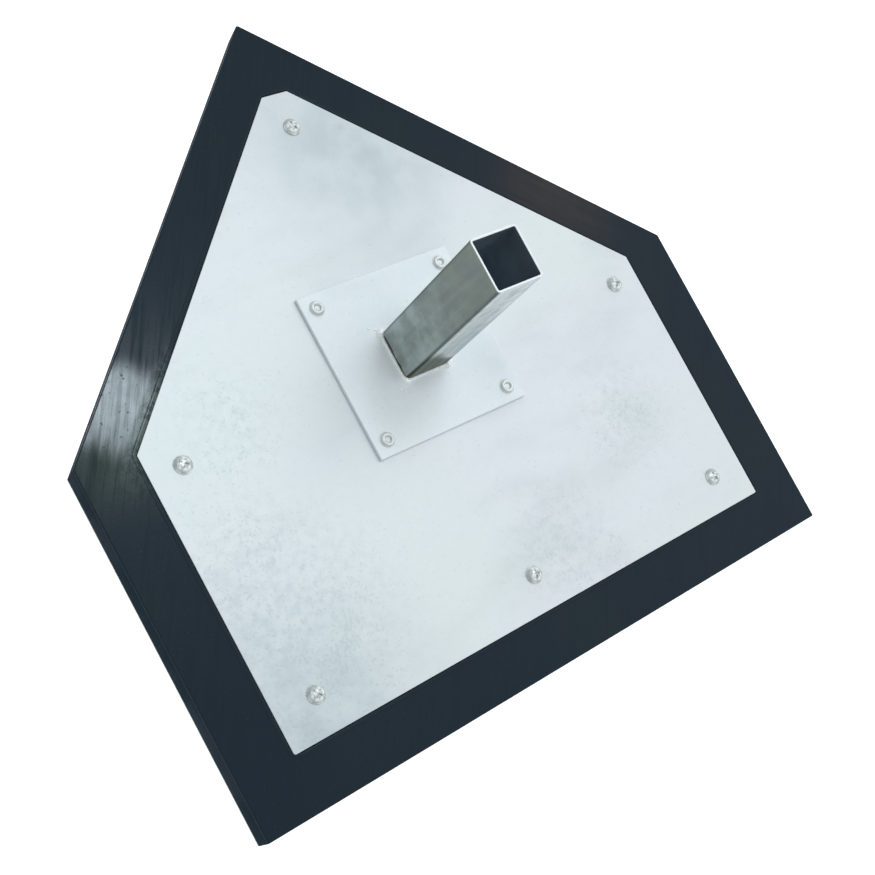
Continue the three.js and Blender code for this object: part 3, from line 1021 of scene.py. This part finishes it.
# Weld: a hand-laid fillet bead round the tube's foot, with a lump where each corner was started
# or ended and beads of spatter on the plate. It is sprayed with zinc paint.
bead_leg = 0.0013
bead_lump = 0.0016
bead_unevenness = 0.24
bead_noise_scale = 260
bead_noise_slice = 3.0
bead_ripple = 0.0013
ripple_share = 0.13
bead_bulge = 0.1
bead_roundness = 0.8
bead_sink = 0.00015
bead_steps = 7
lump_reach = 0.0028
lump_shares = (1.1, 1.5, 0.8, 1.2)
spatter_count = 16
spatter_nearest = 0.003
spatter_spread = 0.009
spatter_aside = 0.8
spatter_sizes = (0.00025, 0.00065)
spatter_lift = 0.35
spatter_flatness = 0.75
weld_bright = (0.97, 0.98, 0.98)
weld_soot = (0.82, 0.85, 0.83)
weld_random = random.Random(7)
tube_corners = box_corners(stem_low, stem_high)
bead_path = rounded_path(tube_corners, tube_corner_radius, steps=14, pieces=70)
bead_loops = []
travelled = 0.0
for i, point in enumerate(bead_path):
    following = bead_path[(i + 1) % len(bead_path)]
    along = following - bead_path[i - 1]
    outward = Vector((along.y, -along.x)).normalized()
    uneven = noise.noise(Vector((*(point * bead_noise_scale), bead_noise_slice)))
    leg = bead_leg * (1 + bead_unevenness * uneven)
    leg += bead_leg * ripple_share * math.sin(math.tau * travelled / bead_ripple)
    for corner, share in zip(tube_corners, lump_shares):
        leg += bead_lump * share * math.exp(-(((point - corner).length / lump_reach) ** 2))
    section = [point - outward * bead_sink, point + outward * leg]
    heights = [-bead_sink, -bead_sink]
    for step in range(bead_steps):
        turn = math.pi / 2 * step / (bead_steps - 1)
        bulge = 1 + bead_bulge * math.sin(turn * 2)
        section.append(point + outward * leg * math.cos(turn) ** bead_roundness * bulge)
        heights.append(leg * math.sin(turn) ** bead_roundness * bulge)
    section.append(point - outward * bead_sink)
    heights.append(heights[-1])
    bead_loops.append([Vector((p.x, p.y, foot_high.z + h)) for p, h in zip(section, heights)])
    travelled += (following - point).length
weld_bead = loft("weld_bead", bead_loops, ring=True)

weld_mesh = bmesh.new()
weld_mesh.from_mesh(weld_bead.data)
for _ in range(spatter_count):
    corner = weld_random.choice(tube_corners)
    away = (corner - stem_centre.xy).normalized()
    landing = corner + away * weld_random.uniform(spatter_nearest, spatter_spread)
    across = Vector((away.y, -away.x)) * weld_random.uniform(-spatter_spread, spatter_spread)
    landing += across * spatter_aside
    size = weld_random.uniform(*spatter_sizes)
    bead = bmesh.ops.create_icosphere(weld_mesh, subdivisions=2, radius=size)
    lift = Matrix.Translation((landing.x, landing.y, foot_high.z + size * spatter_lift))
    flattened = lift @ Matrix.Diagonal((1, 1, spatter_flatness, 1))
    bmesh.ops.transform(weld_mesh, matrix=flattened, verts=bead["verts"])
weld_mesh.to_mesh(weld_bead.data)
weld_mesh.free()
shade(weld_bead, angle=50)

weld_steel, tree, shader, place = new_finish("weld_steel")
sooty = masked(tree, soft_patches, Vector=place, Scale=330.0, Low=0.52, High=0.75)
lumpy = masked(tree, soft_patches, Vector=place, Scale=900.0, Low=0.2, High=0.8)
feed(shader, {
    "Base Color": mix_colours(tree, sooty, weld_bright, weld_soot),
    "Roughness": between(tree, sooty, 0.3, 0.5),
    "Metallic": 0.35,
    "Normal": relief(tree, lumpy, strength=0.3, depth=0.0003),
})
dress(weld_bead, weld_steel, "stem_weld")

# Rivets: four blind rivets through the stem plate and the sheet, set from above.
# Each has a domed, plated head with a dimple, and the broken end of its steel mandrel inside.
rivet_low, rivet_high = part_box("rivet_right_far")
rivet_radius = (rivet_high.x - rivet_low.x) / 2
dimple_radius = 0.0025
dimple_depth = 0.0005
bore_of_rivet = 0.0022
tail_radius = 0.0047
tail_collar = 0.0007
rivet_sides = 56
rivet_brim = 0.0002
crown_width = 0.0005
dome_fall = 0.0011
dome_steps = 8
rivet_bright = (0.87, 0.90, 0.90)
rivet_stained = (0.80, 0.83, 0.83)


def curve_points(start, pull, end, steps):
    """Points after the start of a curve that leaves towards the pull and arrives from it."""
    start, pull, end = Vector(start), Vector(pull), Vector(end)
    return [
        start.lerp(pull, n / steps).lerp(pull.lerp(end, n / steps), n / steps) for n in range(1, steps + 1)
    ]


head_base = foot_high.z - rivet_low.z
head_top = rivet_high.z - rivet_low.z
tail_top = recess_floor - rivet_low.z
rivet_profile = [
    (bore_of_rivet, 0),
    (tail_radius - tail_collar, 0),
    (tail_radius, tail_collar),
    (tail_radius, tail_top),
    (rivet_shank_radius, tail_top),
    (rivet_shank_radius, head_base),
    (rivet_radius, head_base),
    (rivet_radius, head_base + rivet_brim),
]
crown = (dimple_radius + crown_width, head_top)
dimple_floor = (bore_of_rivet, head_top - dimple_depth)
rivet_profile += curve_points(rivet_profile[-1], (rivet_radius - dome_fall, head_top), crown, dome_steps)
rivet_profile += curve_points(crown, (dimple_radius, head_top), dimple_floor, dome_steps)
rivet_loops = [circle(radius, height, rivet_sides) for radius, height in rivet_profile]
rivet_shape = loft("dome_rivet", rivet_loops, ring=True)
shade(rivet_shape, angle=40)

pin_low, pin_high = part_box("rivet_pin_right_far")
pin_radius = 0.0021
pin_sides = 32
mandrel_bright = (0.92, 0.93, 0.92)
mandrel_stained = (0.80, 0.82, 0.81)
bulb_radius = (pin_high.x - pin_low.x) / 2
bulb_height = rivet_low.z - pin_low.z
break_height = 0.0005
break_unevenness = 0.5
break_noise_scale = 1800
pin_top = pin_high.z - pin_low.z
pin_profile = [
    (bulb_radius * 0.6, 0),
    (bulb_radius * 0.9, bulb_height * 0.15),
    (bulb_radius, bulb_height * 0.45),
    (bulb_radius, bulb_height),
    (pin_radius, bulb_height),
    (pin_radius, pin_top - break_height),
    (pin_radius * 0.88, pin_top - break_height * 0.6),
    (pin_radius * 0.6, pin_top - break_height * 0.15),
    (pin_radius * 0.3, pin_top),
]
pin_loops = [circle(radius, height, pin_sides) for radius, height in pin_profile]
for loop in pin_loops[-3:]:
    for point in loop:
        point.z += noise.noise(point * break_noise_scale) * break_height * break_unevenness
pin_shape = loft("rivet_mandrel", pin_loops)
shade(pin_shape, angle=40)

rivet_zinc = plated("rivet_zinc", rivet_bright, rivet_stained, roughness=0.3, bare=0.3, head=rivet_radius)
mandrel_zinc = plated(
    "mandrel_zinc", mandrel_bright, mandrel_stained, roughness=0.4, bare=0.4, head=pin_radius
)
rivet_shape.data.materials.append(rivet_zinc)
pin_shape.data.materials.append(mandrel_zinc)
for spot in rivet_places:
    place_fastener(f"dome_rivet_{spot}", rivet_shape, rivet_zinc, f"rivet_{spot}")
    place_fastener(f"rivet_mandrel_{spot}", pin_shape, mandrel_zinc, f"rivet_pin_{spot}")
bpy.data.objects.remove(rivet_shape)
bpy.data.objects.remove(pin_shape)

# Floor: a plain painted studio floor, large enough to have no edge in view.
# It glows a little, as a floor lit from all round does, so that it ends in the white behind it.
floor_radius = 6.0
floor_thickness = 0.02
floor_sides = 96
floor_pale = (0.93, 0.935, 0.94)
floor_shade = (0.91, 0.915, 0.92)
floor_glow = (0.95, 0.98, 1.0, 1.0)
floor_loops = [circle(floor_radius, height, floor_sides) for height in (-floor_thickness, 0.0)]
floor = loft("studio_floor", floor_loops)
floor_paint, tree, shader, place = new_finish("floor_paint")
paint = masked(tree, soft_patches, Vector=place, Scale=3.0, Low=0.3, High=0.7)
feed(shader, {
    "Base Color": mix_colours(tree, paint, floor_pale, floor_shade),
    "Roughness": 0.8,
    "Specular IOR Level": 0.1,
    "Emission Color": floor_glow,
    "Emission Strength": 0.55,
})
floor.data.materials.append(floor_paint)

# Light: a bright studio that falls off towards the camera's side, a soft box over the far right,
# and a small panel that the left shoulder of the rubber mirrors.
bright_side = Vector((0.72, 0.12, 0.68)).normalized()
side_limits = (-0.35, 0.95)
side_strengths = (0.5, 1.05)
studio_tint = (0.93, 0.985, 1.0, 1.0)
world = bpy.data.worlds.new("studio")
world.use_nodes = True
bpy.context.scene.world = world
tree = world.node_tree
backdrop = tree.nodes["Background"]
direction = add_node(tree, "ShaderNodeTexCoord").outputs["Generated"]
facing = add_node(tree, "ShaderNodeVectorMath", {0: direction, 1: bright_side}, operation="DOT_PRODUCT")
strength = remap(tree, facing.outputs["Value"], *side_limits, *side_strengths)
feed(backdrop, {"Color": studio_tint, "Strength": strength})
white_wall = add_node(tree, "ShaderNodeBackground", {"Color": (1.0, 1.0, 1.0, 1.0)})
seen_direct = add_node(tree, "ShaderNodeLightPath").outputs["Is Camera Ray"]
studio = add_node(
    tree, "ShaderNodeMixShader", {0: seen_direct, 1: backdrop.outputs[0], 2: white_wall.outputs[0]}
)
feed(tree.nodes["World Output"], {"Surface": studio.outputs[0]})


def area_light(name, location, target, side, radiance, colour):
    """A soft square lamp whose power gives its face the wanted radiance."""
    lamp = bpy.data.lights.new(name, "AREA")
    lamp.shape = "SQUARE"
    lamp.size = side
    lamp.energy = math.pi * side * side * radiance
    lamp.color = colour
    made = bpy.data.objects.new(name, lamp)
    made.location = location
    made.rotation_euler = (Vector(target) - Vector(location)).to_track_quat("-Z", "Y").to_euler()
    bpy.context.scene.collection.objects.link(made)


area_light(
    "soft_box", (1.15, 0.1, 1.75), target=(0.0, 0.0, 0.0), side=1.3, radiance=0.35, colour=(1.0, 1.0, 1.0)
)
area_light(
    "mirror_panel",
    (0.348, 0.396, 1.48),
    target=(-0.17, 0.03, 0.02),
    side=0.2,
    radiance=11.0,
    colour=(0.775, 0.925, 1.0),
)

# Camera: it stands where the photograph was taken, with the same lens, for a square picture.
# Its place was found from the corners of home plate, whose sizes are known.
picture_side = 875
sensor_width = 36.0
focal_pixels = 1345.6
centre_pixel = Vector((459.4, 513.3))
camera_place = Vector((-0.4212, -0.1509, 0.6959))
camera_forward = Vector((0.50625, 0.05367, -0.86072))
camera_up = Vector((0.38501, 0.87901, 0.28126))
camera_right = camera_forward.cross(camera_up)
camera_data = bpy.data.cameras.new("camera")
camera_data.sensor_width = sensor_width
camera_data.lens = focal_pixels / picture_side * sensor_width
camera_data.shift_x = (picture_side / 2 - centre_pixel.x) / picture_side
camera_data.shift_y = (centre_pixel.y - picture_side / 2) / picture_side
camera = bpy.data.objects.new("camera", camera_data)
turned_to = Matrix((camera_right, camera_up, -camera_forward)).transposed()
camera.matrix_world = Matrix.Translation(camera_place) @ turned_to.to_4x4()
bpy.context.scene.collection.objects.link(camera)
bpy.context.scene.camera = camera
bpy.context.scene.view_settings.view_transform = "Standard"
